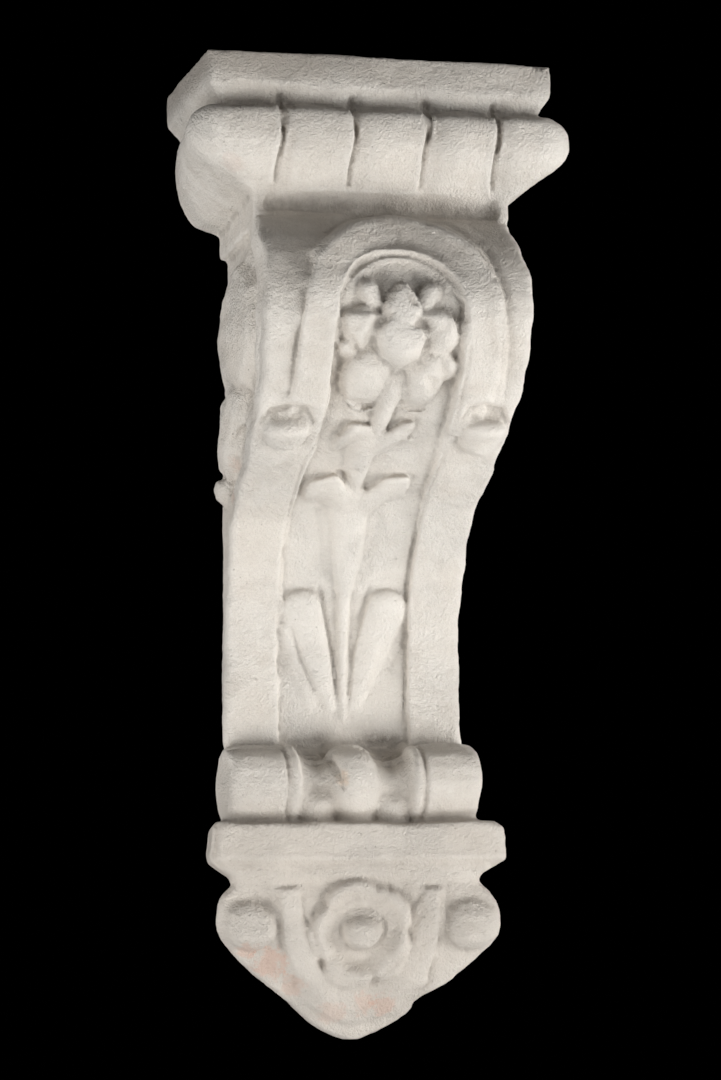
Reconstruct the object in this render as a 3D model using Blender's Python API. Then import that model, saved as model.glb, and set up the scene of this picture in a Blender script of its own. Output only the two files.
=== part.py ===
# Plaster console bracket, cast in one piece.
# The flat back lies in the plane y = 0, the front faces -Y, and z = 0 is half way up.
# "Reach" is a distance out from the wall, so a point at reach r has y = -r.

import math

import bmesh
import bpy
from mathutils import Vector

for item in list(bpy.data.objects):
    bpy.data.objects.remove(item, do_unlink=True)

# Heights of the members, from the top down, in metres
ABACUS_FACE = 0.0172
ABACUS_BEVEL = 0.0083
TORUS_HEIGHT = 0.0455
COVE_HEIGHT = 0.0140
BODY_HEIGHT = 0.2650
ROLL_HEIGHT = 0.0410
TRAY_HEIGHT = 0.0215
TRAY_SLOPE = 0.0100
PENDANT_HEIGHT = 0.0810

# Abacus, the plain slab that carries the shelf
ABACUS_HALF = 0.0917
ABACUS_REACH = 0.1076
ABACUS_CORNER = 0.0020

# Torus, the swelling member cut into cushions, and the cove under it
TORUS_SWELL_SIDE = 0.0335
TORUS_SWELL_WALL = 0.0247
TORUS_SWELL_FRONT = 0.0120
TORUS_CORNER = 0.0150
NECK_HALF = 0.0680
NECK_WALL_HALF = 0.0628
NECK_REACH = 0.1030
COVE_DEPTH = 0.0060
COVE_INSET = 0.0008
GROOVE_COUNT = 4
GROOVE_PITCH = 0.0381
GROOVE_SHIFT = 0.0042
GROOVE_LEAN = 0.0030
GROOVE_WIDTH = 0.0036
GROOVE_DEPTH = 0.0050
GROOVE_END = 0.9

# Body with its S-shaped front
BELLY_REACH = 0.1403
FOOT_REACH = 0.0145
BELLY_HALF = 0.0698
WAIST_HALF = 0.0642
BODY_EDGE = 0.0030
SIDE_SUNK = 0.0046
SIDE_MARGIN = 0.0240
SIDE_DOME_RISE = 0.0115
SIDE_LEAF_HALF = 0.0180
SIDE_LEAF_RISE = 0.0100
SIDE_KNOB_HALF = 0.0135
SIDE_KNOB_RISE = 0.0110

# Panel and niche sunk into the front, and the arch band round the niche
PANEL_HALF = 0.0358
PANEL_DEPTH = 0.0045
PANEL_SLANT = 0.0012
NICHE_HALF = 0.0335
BAND_WIDTH = 0.0205
BAND_RAISE = 0.0040
FOOT_HALF = 0.0128
FOOT_RADIUS = 0.0085
FOOT_RISE = 0.0090
FOOT_OUTWARD = 0.0077

# Flower, stem and leaves in the panel
FLOWER_BOSS = 0.0140
FLOWER_RING = 0.0230
PETAL_COUNT = 5
PETAL_HALF = 0.0136
PETAL_RISE = 0.0085
SEPAL_RING = 0.0280
SEPAL_HALF = 0.0062
LEAF_RISE = 0.0062

# Bolster roll at the foot of the body
ROLL_RADIUS = 0.0215
ROLL_REACH = 0.0440
ROLL_HALF = 0.0680
ROLL_EDGE = 0.0050
ROLL_BEAD = 0.0020
SPOOL_RADIUS = 0.0130
LOBE_HALF = 0.0130
COLLAR_INNER = 0.0300
COLLAR_OUTER = 0.0360

# Tray moulding
TRAY_HALF = 0.0798
TRAY_WALL_HALF = 0.0718
TRAY_REACH = 0.0465
TRAY_CORNER = 0.0050
TRAY_ROUND = 0.0055

# Pendant, a shield with a rosette
PENDANT_HALF = 0.0772
PENDANT_WALL_HALF = 0.0675
PENDANT_REACH = 0.0405
PENDANT_TIP_REACH = 0.0160
PENDANT_EDGE = 0.0030
PENDANT_SHIFT = 0.0008
PENDANT_LEAN = 0.0014
ROSETTE_RADIUS = 0.0285
ROSETTE_LOBES = 5
ROSETTE_BUTTON = 0.0100
ROSETTE_RISE = 0.0050
CORNER_BOSS = 0.0148
CORNER_BOSS_RISE = 0.0085
CORNER_BOSS_INSET = 0.0030
LYRE_HALF = 0.0375
LYRE_WIDTH = 0.0150
LYRE_RISE = 0.0035

# How far a laid-on form goes below the surface that it sits on, and one member into the next
SINK = 0.0040
OVERLAP = 0.0030

# Shares of the way down the body where its carving starts, ends or has its middle
ARCH_DOWN = 0.212
FEET_DOWN = 0.41
PANEL_OPEN_DOWN = 0.455
FLOWER_DOWN = 0.266
SIDE_TOP_DOWN = 0.012
SIDE_END_DOWN = 0.51
SIDE_DOME_DOWN = 0.195
SIDE_KNOB_DOWN = 0.49

# Shares of the way down the pendant
PENDANT_BOSS_DOWN = 0.265
ROSETTE_DOWN = 0.32
LYRE_TOP_DOWN = 0.03
LYRE_BEND_DOWN = 0.2
LYRE_DROP = 0.58

OVERALL_HEIGHT = (ABACUS_FACE + ABACUS_BEVEL + TORUS_HEIGHT + COVE_HEIGHT + BODY_HEIGHT
                  + ROLL_HEIGHT + TRAY_HEIGHT + TRAY_SLOPE + PENDANT_HEIGHT)
TOP = OVERALL_HEIGHT / 2
ABACUS_LIP = TOP - ABACUS_FACE
TORUS_TOP = ABACUS_LIP - ABACUS_BEVEL
TORUS_BOTTOM = TORUS_TOP - TORUS_HEIGHT
BODY_TOP = TORUS_BOTTOM - COVE_HEIGHT
BODY_BOTTOM = BODY_TOP - BODY_HEIGHT
TRAY_TOP = BODY_BOTTOM - ROLL_HEIGHT
TRAY_BOTTOM = TRAY_TOP - TRAY_HEIGHT
PENDANT_TOP = TRAY_BOTTOM - TRAY_SLOPE

# Free forms, each as (share of the way down, share of the way out)
BODY_FRONT = ((0, 0.724), (0.05, 0.859), (0.115, 0.962), (0.2, 1), (0.303, 0.907),
              (0.397, 0.739), (0.46, 0.543), (0.523, 0.298), (0.586, 0.174),
              (0.68, 0.06), (0.8, 0.004), (1, 0.003))
BODY_WIDTH = ((0, 0.65), (0.21, 1), (0.46, 0.35), (0.75, 0), (1, 0.2))
TORUS_FRONT = ((0, 0.45), (0.04, 0.63), (0.115, 0.83), (0.225, 0.95), (0.37, 1), (0.52, 0.945),
               (0.68, 0.74), (0.81, 0.45), (0.9, 0.27), (1, 0.03))
TORUS_WALL = ((0, 0.82), (0.12, 0.93), (0.31, 0.98), (0.53, 0.95), (0.7, 0.89), (0.86, 0.76),
              (0.95, 0.66), (1, 0.54))
SHIELD_WIDTH = ((0, 0.86), (0.08, 0.94), (0.2, 1), (0.32, 0.985), (0.45, 0.88), (0.6, 0.7),
                (0.72, 0.51), (0.83, 0.38), (0.93, 0.24), (1, 0.05))
SHIELD_FRONT = ((0, 1), (0.27, 0.97), (0.45, 0.8), (0.64, 0.55), (0.82, 0.3), (1, 0))
TRAY_LIP = ((0, 0.9, 0.3), (0.12, 0.3, 0.08), (0.38, 0.1, 0), (0.72, 0, 0.03), (0.93, 0.1, 0.24),
            (1.06, 0.8, 0.59))

# Stem and leaves, each as (across, down the body, half width, rise): across and half width are
# shares of the panel's half width, and rise is a share of the leaves' rise
STALK = ((0, 0.34, 0.17, 1), (-0.03, 0.385, 0.18, 1), (-0.08, 0.44, 0.24, 1))
UPPER_CUP = ((-0.11, 0.42, 0.22, 1), (-0.11, 0.455, 0.24, 1), (-0.06, 0.485, 0.15, 1),
             (-0.03, 0.52, 0.1, 0.6))
LOWER_CUP = ((-0.03, 0.49, 0.11, 1), (-0.06, 0.52, 0.29, 1), (-0.06, 0.6, 0.265, 1),
             (-0.03, 0.68, 0.155, 0.85), (0, 0.76, 0.1, 0.7), (0, 0.87, 0.085, 0.5),
             (0, 0.94, 0.055, 0.2))
UPPER_LEAF = ((0, 0.43, 0.17, 1), (0.25, 0.413, 0.155, 1), (0.45, 0.418, 0.13, 1),
              (0.56, 0.43, 0.06, 0.5))
MIDDLE_LEAF = ((0, 0.515, 0.2, 1), (0.36, 0.503, 0.17, 1), (0.62, 0.503, 0.15, 1),
               (0.79, 0.512, 0.06, 0.5))
TONGUE_LEAF = ((0.72, 0.683, 0.16, 0.6), (0.72, 0.705, 0.31, 1.2), (0.62, 0.75, 0.33, 1.1),
               (0.43, 0.82, 0.27, 1), (0.28, 0.88, 0.19, 0.8), (0.17, 0.945, 0.08, 0.3))
UPPER_LEAF_ROOT = -0.09
MIDDLE_LEAF_ROOT = -0.055

# Side leaf, as (out from the wall, down the body, half width, rise), in shares of the belly's
# reach and of the leaf's own half width and rise
SIDE_LEAF = ((0.45, 0.295, 0.25, 0.3), (0.37, 0.31, 0.75, 0.85), (0.27, 0.34, 0.95, 0.95),
             (0.18, 0.39, 1, 1), (0.12, 0.455, 0.8, 0.88))


def between(knots, count):
    """A smooth curve through knots of any width, as count + 1 evenly spread tuples."""
    result = []
    last = len(knots) - 1
    for step in range(count + 1):
        place = last * step / count
        index = min(int(place), last - 1)
        t = place - index
        before = knots[max(index - 1, 0)]
        start = knots[index]
        end = knots[index + 1]
        after = knots[min(index + 2, last)]
        result.append(tuple(
            0.5 * (2 * b + (c - a) * t + (2 * a - 5 * b + 4 * c - d) * t * t
                   + (3 * b - a - 3 * c + d) * t * t * t)
            for a, b, c, d in zip(before, start, end, after)))
    return result


def share_at(knots, down):
    """The second value of the knots at a share of the way down, smoothly."""
    down = min(max(down, 0), 1)
    index = 0
    while index < len(knots) - 2 and knots[index + 1][0] < down:
        index += 1
    start, end = knots[index], knots[index + 1]
    before = knots[max(index - 1, 0)]
    after = knots[min(index + 2, len(knots) - 1)]
    span = end[0] - start[0]
    slope_in = (end[1] - before[1]) / (end[0] - before[0]) * span
    slope_out = (after[1] - start[1]) / (after[0] - start[0]) * span
    t = (down - start[0]) / span
    return ((2 * t ** 3 - 3 * t * t + 1) * start[1] + (t ** 3 - 2 * t * t + t) * slope_in
            + (3 * t * t - 2 * t ** 3) * end[1] + (t ** 3 - t * t) * slope_out)


def torus_reach(down):
    return NECK_REACH + TORUS_SWELL_FRONT * share_at(TORUS_FRONT, down)


def body_down(z):
    return (BODY_TOP - z) / BODY_HEIGHT


def body_z(down):
    return BODY_TOP - down * BODY_HEIGHT


def body_reach(z):
    return FOOT_REACH + (BELLY_REACH - FOOT_REACH) * share_at(BODY_FRONT, body_down(z))


def body_half(z):
    return WAIST_HALF + (BELLY_HALF - WAIST_HALF) * share_at(BODY_WIDTH, body_down(z))


def pendant_z(down):
    return PENDANT_TOP - down * PENDANT_HEIGHT


def pendant_reach(z):
    down = (PENDANT_TOP - z) / PENDANT_HEIGHT
    return PENDANT_TIP_REACH + (PENDANT_REACH - PENDANT_TIP_REACH) * share_at(SHIELD_FRONT, down)


def facing(reach):
    """A surface that follows a reach: it lays (across, z, lift) out along its normal."""
    step = OVERLAP / 6

    def lay(across, z, lift):
        slope = (reach(z + step) - reach(z - step)) / (2 * step)
        length = math.hypot(1, slope)
        return Vector((across, -reach(z) - lift / length, z - lift * slope / length))
    return lay


def side_floor(out):
    """Half width of the sunk side, at a distance out from the wall."""
    taper = (BELLY_HALF - NECK_WALL_HALF) / BELLY_REACH
    return NECK_WALL_HALF - SIDE_SUNK + taper * out


def siding(sign):
    def lay(out, z, lift):
        return Vector((sign * (side_floor(out) + lift), -out, z))
    return lay


def pendant_middle(z):
    """Where the pendant's middle line is, as it leans to one side toward its tip."""
    return PENDANT_SHIFT + PENDANT_LEAN * (PENDANT_TOP - z) / PENDANT_HEIGHT


front = facing(body_reach)
shield_face = facing(pendant_reach)


def shield(across, z, lift):
    return shield_face(across + pendant_middle(z), z, lift)


def plaster():
    material = bpy.data.materials.new("plaster")
    material.use_nodes = True
    shader = material.node_tree.nodes["Principled BSDF"]
    shader.inputs["Base Color"].default_value = (0.74, 0.69, 0.61, 1)
    shader.inputs["Roughness"].default_value = 0.85
    shader.inputs["Metallic"].default_value = 0
    return material


PLASTER = plaster()


def add_object(name, mesh):
    bmesh.ops.triangulate(mesh, faces=mesh.faces)
    bmesh.ops.recalc_face_normals(mesh, faces=mesh.faces)
    data = bpy.data.meshes.new(name)
    mesh.to_mesh(data)
    mesh.free()
    data.materials.append(PLASTER)
    data.shade_smooth()
    data.set_sharp_from_angle(angle=math.radians(40))
    thing = bpy.data.objects.new(name, data)
    bpy.context.scene.collection.objects.link(thing)
    return thing


def loft(name, sections):
    """A closed skin over sections that have equally many points."""
    mesh = bmesh.new()
    rings = [[mesh.verts.new(point) for point in section] for section in sections]
    count = len(rings[0])
    for lower, upper in zip(rings, rings[1:]):
        for i in range(count):
            j = (i + 1) % count
            mesh.faces.new((lower[i], lower[j], upper[j], upper[i]))
    mesh.faces.new(rings[0])
    mesh.faces.new(list(reversed(rings[-1])))
    return add_object(name, mesh)


def dome(name, lay, across, z, half_across, half_up, rise, base, turn=0, around=12, rings=6):
    """A rounded boss laid on a surface; its lower half goes below the base."""
    mesh = bmesh.new()
    bmesh.ops.create_uvsphere(mesh, u_segments=around, v_segments=rings, radius=1)
    for vert in mesh.verts:
        a, b, c = vert.co
        u = half_across * a
        v = half_up * b
        vert.co = lay(across + u * math.cos(turn) - v * math.sin(turn),
                      z + u * math.sin(turn) + v * math.cos(turn), base + rise * c)
    return add_object(name, mesh)


def ridge(name, lay, knots, base, count=8, steps=4):
    """A rounded strip laid along knots of (across, z, half width, rise)."""
    path = between(knots, count)
    sections = []
    for i, (across, z, half, rise) in enumerate(path):
        after = path[min(i + 1, count)]
        before = path[max(i - 1, 0)]
        run = Vector((after[0] - before[0], after[1] - before[1])).normalized()
        section = []
        for k in range(steps + 1):
            angle = math.pi * k / steps
            offset = half * math.cos(angle)
            section.append(lay(across + run.y * offset, z - run.x * offset,
                               base + rise * math.sin(angle)))
        for offset in (-half, half):
            section.append(lay(across + run.y * offset, z - run.x * offset, base - SINK))
        sections.append(section)
    return loft(name, sections)


def slab(z, half, wall_half, reach, corner, steps=4):
    """One level outline of a moulding that returns round both sides to the wall."""
    points = [Vector((-wall_half, 0, z))]
    for sign in (-1, 1):
        for k in range(steps + 1):
            turn = k / steps if sign < 0 else 1 - k / steps
            angle = math.pi / 2 * turn
            points.append(Vector((sign * (half - corner + corner * math.cos(angle)),
                                  -(reach - corner + corner * math.sin(angle)), z)))
    points.append(Vector((wall_half, 0, z)))
    return points


def head():
    """Abacus, torus and cove in one skin, from the top down into the body."""
    rows = [slab(TOP, ABACUS_HALF, ABACUS_HALF, ABACUS_REACH, ABACUS_CORNER),
            slab(ABACUS_LIP, ABACUS_HALF, ABACUS_HALF, ABACUS_REACH, ABACUS_CORNER),
            slab(TORUS_TOP, ABACUS_HALF - ABACUS_BEVEL, ABACUS_HALF - ABACUS_BEVEL,
                 ABACUS_REACH - ABACUS_BEVEL, ABACUS_CORNER)]
    for step in range(1, 13):
        down = step / 12
        swell = share_at(TORUS_FRONT, down)
        rows.append(slab(TORUS_TOP - TORUS_HEIGHT * down,
                         NECK_HALF + TORUS_SWELL_SIDE * swell,
                         NECK_WALL_HALF + TORUS_SWELL_WALL * share_at(TORUS_WALL, down),
                         torus_reach(down),
                         ABACUS_CORNER + (TORUS_CORNER - ABACUS_CORNER) * swell))
    rows.append(slab(TORUS_BOTTOM - COVE_HEIGHT * 0.3, NECK_HALF, NECK_WALL_HALF, NECK_REACH,
                     ABACUS_CORNER))
    rows.append(slab(BODY_TOP, NECK_HALF - COVE_INSET, NECK_WALL_HALF, NECK_REACH, ABACUS_CORNER))
    rows.append(slab(BODY_TOP - OVERLAP, NECK_WALL_HALF - OVERLAP, NECK_WALL_HALF - OVERLAP,
                     NECK_REACH - OVERLAP, ABACUS_CORNER))
    mouldings = loft("head mouldings", rows)
    combine(mouldings, "grooves and cove",
            [groove(index) for index in range(GROOVE_COUNT)] + [cove_cutter()], "DIFFERENCE")
    return mouldings


def cove_cutter():
    """A trough across the front of the neck, which leaves its two corners standing."""
    around = 16
    middle = TORUS_BOTTOM - COVE_HEIGHT * 0.48
    sections = []
    for share in (-1, -0.93, -0.5, 0.5, 0.93, 1):
        depth = COVE_DEPTH * (1 - 0.75 * abs(share) ** 9)
        sections.append([Vector((share * (NECK_HALF - 2 * OVERLAP),
                                 -NECK_REACH - depth * 0.4 + depth * 1.4 * math.cos(turn),
                                 middle + COVE_HEIGHT * 0.52 * math.sin(turn)))
                         for turn in (2 * math.pi * k / around for k in range(around))])
    return loft("cove cutter", sections)


def groove(index):
    """A cutter for one upright groove between two cushions of the torus."""
    centre = GROOVE_SHIFT + (index - (GROOVE_COUNT - 1) / 2) * GROOVE_PITCH
    sections = []
    for step in range(11):
        down = step / 10
        reach = torus_reach(GROOVE_END * down)
        x = centre - GROOVE_LEAN * down
        z = TORUS_TOP - TORUS_HEIGHT * GROOVE_END * down
        half = GROOVE_WIDTH * (1 - 0.35 * down)
        sections.append((Vector((x - half, -reach - OVERLAP, z)),
                         Vector((x + half, -reach - OVERLAP, z)),
                         Vector((x, -reach + GROOVE_DEPTH * (1 - 0.3 * down), z))))
    return loft("groove cutter", sections)


def body():
    sections = []
    for step in range(35):
        z = body_z(step / 34)
        half = body_half(z)
        reach = body_reach(z)
        wall = min(NECK_WALL_HALF, half)
        sections.append((Vector((-wall, 0, z)), Vector((-half, -reach + BODY_EDGE, z)),
                         Vector((-half + BODY_EDGE / 3, -reach + BODY_EDGE / 3, z)),
                         Vector((-half + BODY_EDGE, -reach, z)),
                         Vector((half - BODY_EDGE, -reach, z)),
                         Vector((half - BODY_EDGE / 3, -reach + BODY_EDGE / 3, z)),
                         Vector((half, -reach + BODY_EDGE, z)), Vector((wall, 0, z))))
    return loft("console_bracket", sections)


def arch_band():
    """The raised band: two legs and a round arch over the niche."""
    centre = NICHE_HALF + BAND_WIDTH / 2
    half = BAND_WIDTH / 2 + OVERLAP / 2
    shift = -OVERLAP / 2
    knots = []
    for down in (FEET_DOWN, (FEET_DOWN + ARCH_DOWN) / 2):
        knots.append((-centre - shift, body_z(down), half, BAND_RAISE))
    for step in range(21):
        angle = math.pi * (1 - step / 20)
        knots.append(((centre + shift) * math.cos(angle),
                      body_z(ARCH_DOWN) + (centre + shift) * math.sin(angle), half, BAND_RAISE))
    for down in ((FEET_DOWN + ARCH_DOWN) / 2, FEET_DOWN):
        knots.append((centre + shift, body_z(down), half, BAND_RAISE))
    return flat_ridge("arch band", front, knots, 0)


def flat_ridge(name, lay, knots, base):
    """A strip like a fillet: flat on top, with sloping shoulders."""
    last = len(knots) - 1
    sections = []
    for i, (across, z, half, rise) in enumerate(knots):
        after = knots[min(i + 1, last)]
        before = knots[max(i - 1, 0)]
        run = Vector((after[0] - before[0], after[1] - before[1])).normalized()
        profile = ((1, 0), (0.88, 0.75), (0.65, 1), (0.33, 1), (0, 1), (-0.33, 1), (-0.65, 1),
                   (-0.88, 0.75), (-1, 0))
        section = [lay(across + run.y * half * u, z - run.x * half * u, base + rise * v)
                   for u, v in profile]
        for u in (-1, 1):
            section.append(lay(across + run.y * half * u, z - run.x * half * u, base - SINK))
        sections.append(section)
    return loft(name, sections)


def panel_cutter():
    """The niche with its round head and the panel that runs down from it to the roll."""
    rows = []
    for step in range(9):
        angle = math.pi / 2 * (1 - step / 8) * 0.94
        rows.append((body_z(ARCH_DOWN) + NICHE_HALF * math.sin(angle), NICHE_HALF * math.cos(angle)))
    for step in range(1, 8):
        down = ARCH_DOWN + (PANEL_OPEN_DOWN - ARCH_DOWN) * step / 7
        rows.append((body_z(down), NICHE_HALF))
    for step in range(1, 13):
        down = PANEL_OPEN_DOWN + (1 - PANEL_OPEN_DOWN) * step / 12
        opening = min(step / 2, 1)
        rows.append((body_z(down), NICHE_HALF + (PANEL_HALF - NICHE_HALF) * opening))
    above = BAND_RAISE + OVERLAP
    sections = [(front(-half - PANEL_SLANT, z, above), front(half + PANEL_SLANT, z, above),
                 front(half - PANEL_SLANT, z, -PANEL_DEPTH),
                 front(-half + PANEL_SLANT, z, -PANEL_DEPTH))
                for z, half in rows]
    return loft("panel cutter", sections)


def side_cutter(sign):
    """The sunk field on one side, open to the wall."""
    sections = []
    lay = siding(sign)
    for step in range(13):
        z = body_z(SIDE_TOP_DOWN + (SIDE_END_DOWN - SIDE_TOP_DOWN) * step / 12)
        out = body_reach(z) - SIDE_MARGIN
        sections.append((lay(-OVERLAP, z, 0), lay(out - OVERLAP, z, 0),
                         lay(out, z, SIDE_SUNK + OVERLAP), lay(-OVERLAP, z, SIDE_SUNK + OVERLAP)))
    return loft("side cutter", sections)


def side_carving(sign):
    """The big dome, the long leaf under it and the knob, on one side."""
    lay = siding(sign)
    leaf = [(out * BELLY_REACH, body_z(down), half * SIDE_LEAF_HALF, rise * SIDE_LEAF_RISE)
            for out, down, half, rise in SIDE_LEAF]
    return [dome("side dome", lay, 0.35 * BELLY_REACH, body_z(SIDE_DOME_DOWN),
                 0.335 * BELLY_REACH, 0.14 * BODY_HEIGHT, SIDE_DOME_RISE, 0, 0.12, 16, 6),
            ridge("side leaf", lay, leaf, 0),
            dome("side knob", lay, 0.105 * BELLY_REACH, body_z(SIDE_KNOB_DOWN),
                 SIDE_KNOB_HALF, 0.78 * SIDE_KNOB_HALF, SIDE_KNOB_RISE, 0)]


def band_feet():
    """The rolled ends under the two legs of the band."""
    feet = []
    for sign in (-1, 1):
        across = sign * (NICHE_HALF + BAND_WIDTH / 2 + FOOT_OUTWARD)
        feet.append(dome("rolled foot", front, across, body_z(FEET_DOWN),
                         FOOT_HALF, FOOT_RADIUS, FOOT_RISE, 0))
    return feet


def flower():
    """Five petals round a boss, with small sepals between them."""
    things = []
    centre = body_z(FLOWER_DOWN)
    floor = -PANEL_DEPTH
    for k in range(PETAL_COUNT):
        angle = math.pi / 2 + 2 * math.pi * k / PETAL_COUNT
        things.append(dome("petal", front, FLOWER_RING * math.cos(angle),
                           centre + FLOWER_RING * math.sin(angle),
                           PETAL_HALF, PETAL_HALF, PETAL_RISE, floor))
        between_petals = angle + math.pi / PETAL_COUNT
        if math.sin(between_petals) > -0.9:
            things.append(dome("sepal", front, SEPAL_RING * math.cos(between_petals),
                               centre + SEPAL_RING * math.sin(between_petals),
                               SEPAL_HALF, SEPAL_HALF, 0.6 * PETAL_RISE, floor, 0, 10, 6))
    things.append(dome("flower boss", front, 0, centre, FLOWER_BOSS, FLOWER_BOSS,
                       1.6 * PETAL_RISE, floor))
    return things


def foliage(name, form, count, sign=1, root=0):
    """One ridge of the stem, laid on the panel's floor from its table of shares."""
    knots = [((sign * across + root) * PANEL_HALF, body_z(down), half * PANEL_HALF,
              rise * LEAF_RISE) for across, down, half, rise in form]
    return ridge(name, front, knots, -PANEL_DEPTH, count)


def stem():
    """The stem with its two cups, each with a pair of spreading leaves."""
    things = [foliage("flower stalk", STALK, 5), foliage("upper cup", UPPER_CUP, 8),
              foliage("lower cup", LOWER_CUP, 14)]
    for sign in (-1, 1):
        things.append(foliage("upper leaf", UPPER_LEAF, 7, sign, UPPER_LEAF_ROOT))
        things.append(foliage("middle leaf", MIDDLE_LEAF, 7, sign, MIDDLE_LEAF_ROOT))
        things.append(foliage("tongue leaf", TONGUE_LEAF, 12, sign))
    return things


def roll():
    """The bolster: two drums with collars, hollow spools and a middle lobe."""
    profile = [(-ROLL_HALF, ROLL_RADIUS * 0.8), (-ROLL_HALF + ROLL_EDGE * 0.3, ROLL_RADIUS * 0.94),
               (-ROLL_HALF + ROLL_EDGE, ROLL_RADIUS),
               (-COLLAR_OUTER - ROLL_BEAD * 0.6, ROLL_RADIUS),
               (-COLLAR_OUTER, ROLL_RADIUS - ROLL_BEAD),
               (-COLLAR_OUTER + ROLL_BEAD * 0.8, ROLL_RADIUS - ROLL_BEAD / 4),
               (-COLLAR_INNER - ROLL_BEAD / 2, ROLL_RADIUS - ROLL_BEAD / 2),
               (-COLLAR_INNER + ROLL_BEAD, SPOOL_RADIUS + ROLL_BEAD * 1.2),
               (-(COLLAR_INNER + LOBE_HALF) / 2, SPOOL_RADIUS),
               (-LOBE_HALF - ROLL_BEAD / 2, SPOOL_RADIUS + ROLL_BEAD / 2)]
    for step in range(6):
        angle = math.pi * (0.12 + 0.38 * step / 5)
        profile.append((-LOBE_HALF * math.cos(angle), SPOOL_RADIUS
                        + (ROLL_RADIUS + ROLL_BEAD / 4 - SPOOL_RADIUS) * math.sin(angle)))
    profile += [(-x, radius) for x, radius in reversed(profile[:-1])]
    centre = ROLL_REACH - ROLL_RADIUS
    middle = (BODY_BOTTOM + TRAY_TOP) / 2
    around = 18
    sections = [[Vector((x, -centre - radius * math.cos(2 * math.pi * k / around),
                         middle + radius * math.sin(2 * math.pi * k / around)))
                 for k in range(around)] for x, radius in profile]
    return loft("bolster roll", sections)


def tray():
    """The block behind the roll, the tray moulding and the slope under it, in one skin."""
    core = ROLL_REACH - ROLL_RADIUS - OVERLAP
    rows = [slab(BODY_BOTTOM + OVERLAP, NECK_WALL_HALF - OVERLAP, NECK_WALL_HALF - OVERLAP,
                 FOOT_REACH - PANEL_DEPTH, ABACUS_CORNER),
            slab(BODY_BOTTOM - OVERLAP, NECK_WALL_HALF, NECK_WALL_HALF, core, ABACUS_CORNER),
            slab(TRAY_TOP + OVERLAP / 2, NECK_WALL_HALF, NECK_WALL_HALF, core, ABACUS_CORNER)]
    for down, inset, back in TRAY_LIP:
        rows.append(slab(TRAY_TOP - TRAY_HEIGHT * down, TRAY_HALF - inset * TRAY_ROUND,
                         TRAY_WALL_HALF - inset * TRAY_ROUND, TRAY_REACH - back * TRAY_ROUND,
                         TRAY_CORNER))
    neck = SHIELD_WIDTH[0][1]
    spread = TRAY_SLOPE * 0.2
    rows.append(slab(PENDANT_TOP + TRAY_SLOPE * 0.4, PENDANT_HALF * neck + spread,
                     PENDANT_WALL_HALF * neck + spread, PENDANT_REACH + spread, TRAY_CORNER))
    rows.append(slab(PENDANT_TOP - OVERLAP, PENDANT_HALF * neck - OVERLAP / 2,
                     PENDANT_WALL_HALF * neck - OVERLAP / 2, PENDANT_REACH - OVERLAP / 2,
                     TRAY_CORNER))
    return loft("tray", rows)


def pendant():
    """The shield-shaped pendant, thinner toward its tip."""
    sections = []
    for step in range(23):
        down = math.sin(math.pi / 2 * step / 22)
        z = pendant_z(down)
        width = share_at(SHIELD_WIDTH, down)
        half = PENDANT_HALF * width
        wall_half = PENDANT_WALL_HALF * width
        reach = pendant_reach(z)
        middle = pendant_middle(z)
        edge = min(PENDANT_EDGE, half / 2)
        sections.append((Vector((middle - wall_half, 0, z)),
                         Vector((middle - half, -reach + edge, z)),
                         Vector((middle - half + edge, -reach, z)),
                         Vector((middle + half - edge, -reach, z)),
                         Vector((middle + half, -reach + edge, z)),
                         Vector((middle + wall_half, 0, z))))
    return loft("pendant", sections)


def rosette(centre):
    """A dished disc whose edge is notched into lobes."""
    around = 6 * ROSETTE_LOBES
    rings = ((0.3, -SINK), (1, -SINK), (1, 0), (0.96, 0.75 * ROSETTE_RISE), (0.86, ROSETTE_RISE),
             (0.66, 0.72 * ROSETTE_RISE), (0.45, 0.3 * ROSETTE_RISE), (0.3, 0.2 * ROSETTE_RISE))
    sections = []
    for share, lift in rings:
        section = []
        for k in range(around):
            turn = 2 * math.pi * k / around
            lobe = abs(math.sin(ROSETTE_LOBES * turn / 2)) ** 0.5
            radius = ROSETTE_RADIUS * share * (0.86 + 0.14 * lobe)
            rise = lift * (0.6 + 0.4 * lobe)
            section.append(shield(radius * math.cos(turn), centre + radius * math.sin(turn), rise))
        sections.append(section)
    return loft("rosette", sections)


def pendant_carving():
    """The lyre band, the rosette inside it and a boss in each upper corner."""
    top = (LYRE_HALF + CORNER_BOSS_INSET / 2, pendant_z(LYRE_TOP_DOWN), LYRE_WIDTH * 0.42, LYRE_RISE)
    lyre = [(-top[0],) + top[1:]]
    for step in range(17):
        angle = math.pi * step / 16
        lyre.append((-LYRE_HALF * math.cos(angle) * (1 - 0.12 * math.sin(angle)),
                     pendant_z(LYRE_BEND_DOWN + LYRE_DROP * math.sin(angle) ** 0.8),
                     LYRE_WIDTH / 2 * (0.9 + 0.5 * math.sin(angle)), LYRE_RISE))
    lyre.append(top)
    things = [ridge("lyre band", shield, lyre, 0, 24)]
    centre = pendant_z(ROSETTE_DOWN)
    things.append(rosette(centre))
    things.append(dome("rosette button", shield, 0, centre, ROSETTE_BUTTON, ROSETTE_BUTTON,
                       1.8 * ROSETTE_RISE, 0))
    for sign in (-1, 1):
        across = sign * (PENDANT_HALF - CORNER_BOSS - CORNER_BOSS_INSET)
        things.append(dome("corner boss", shield, across, pendant_z(PENDANT_BOSS_DOWN),
                           CORNER_BOSS, CORNER_BOSS * 0.92, CORNER_BOSS_RISE, 0))
    return things


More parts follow.
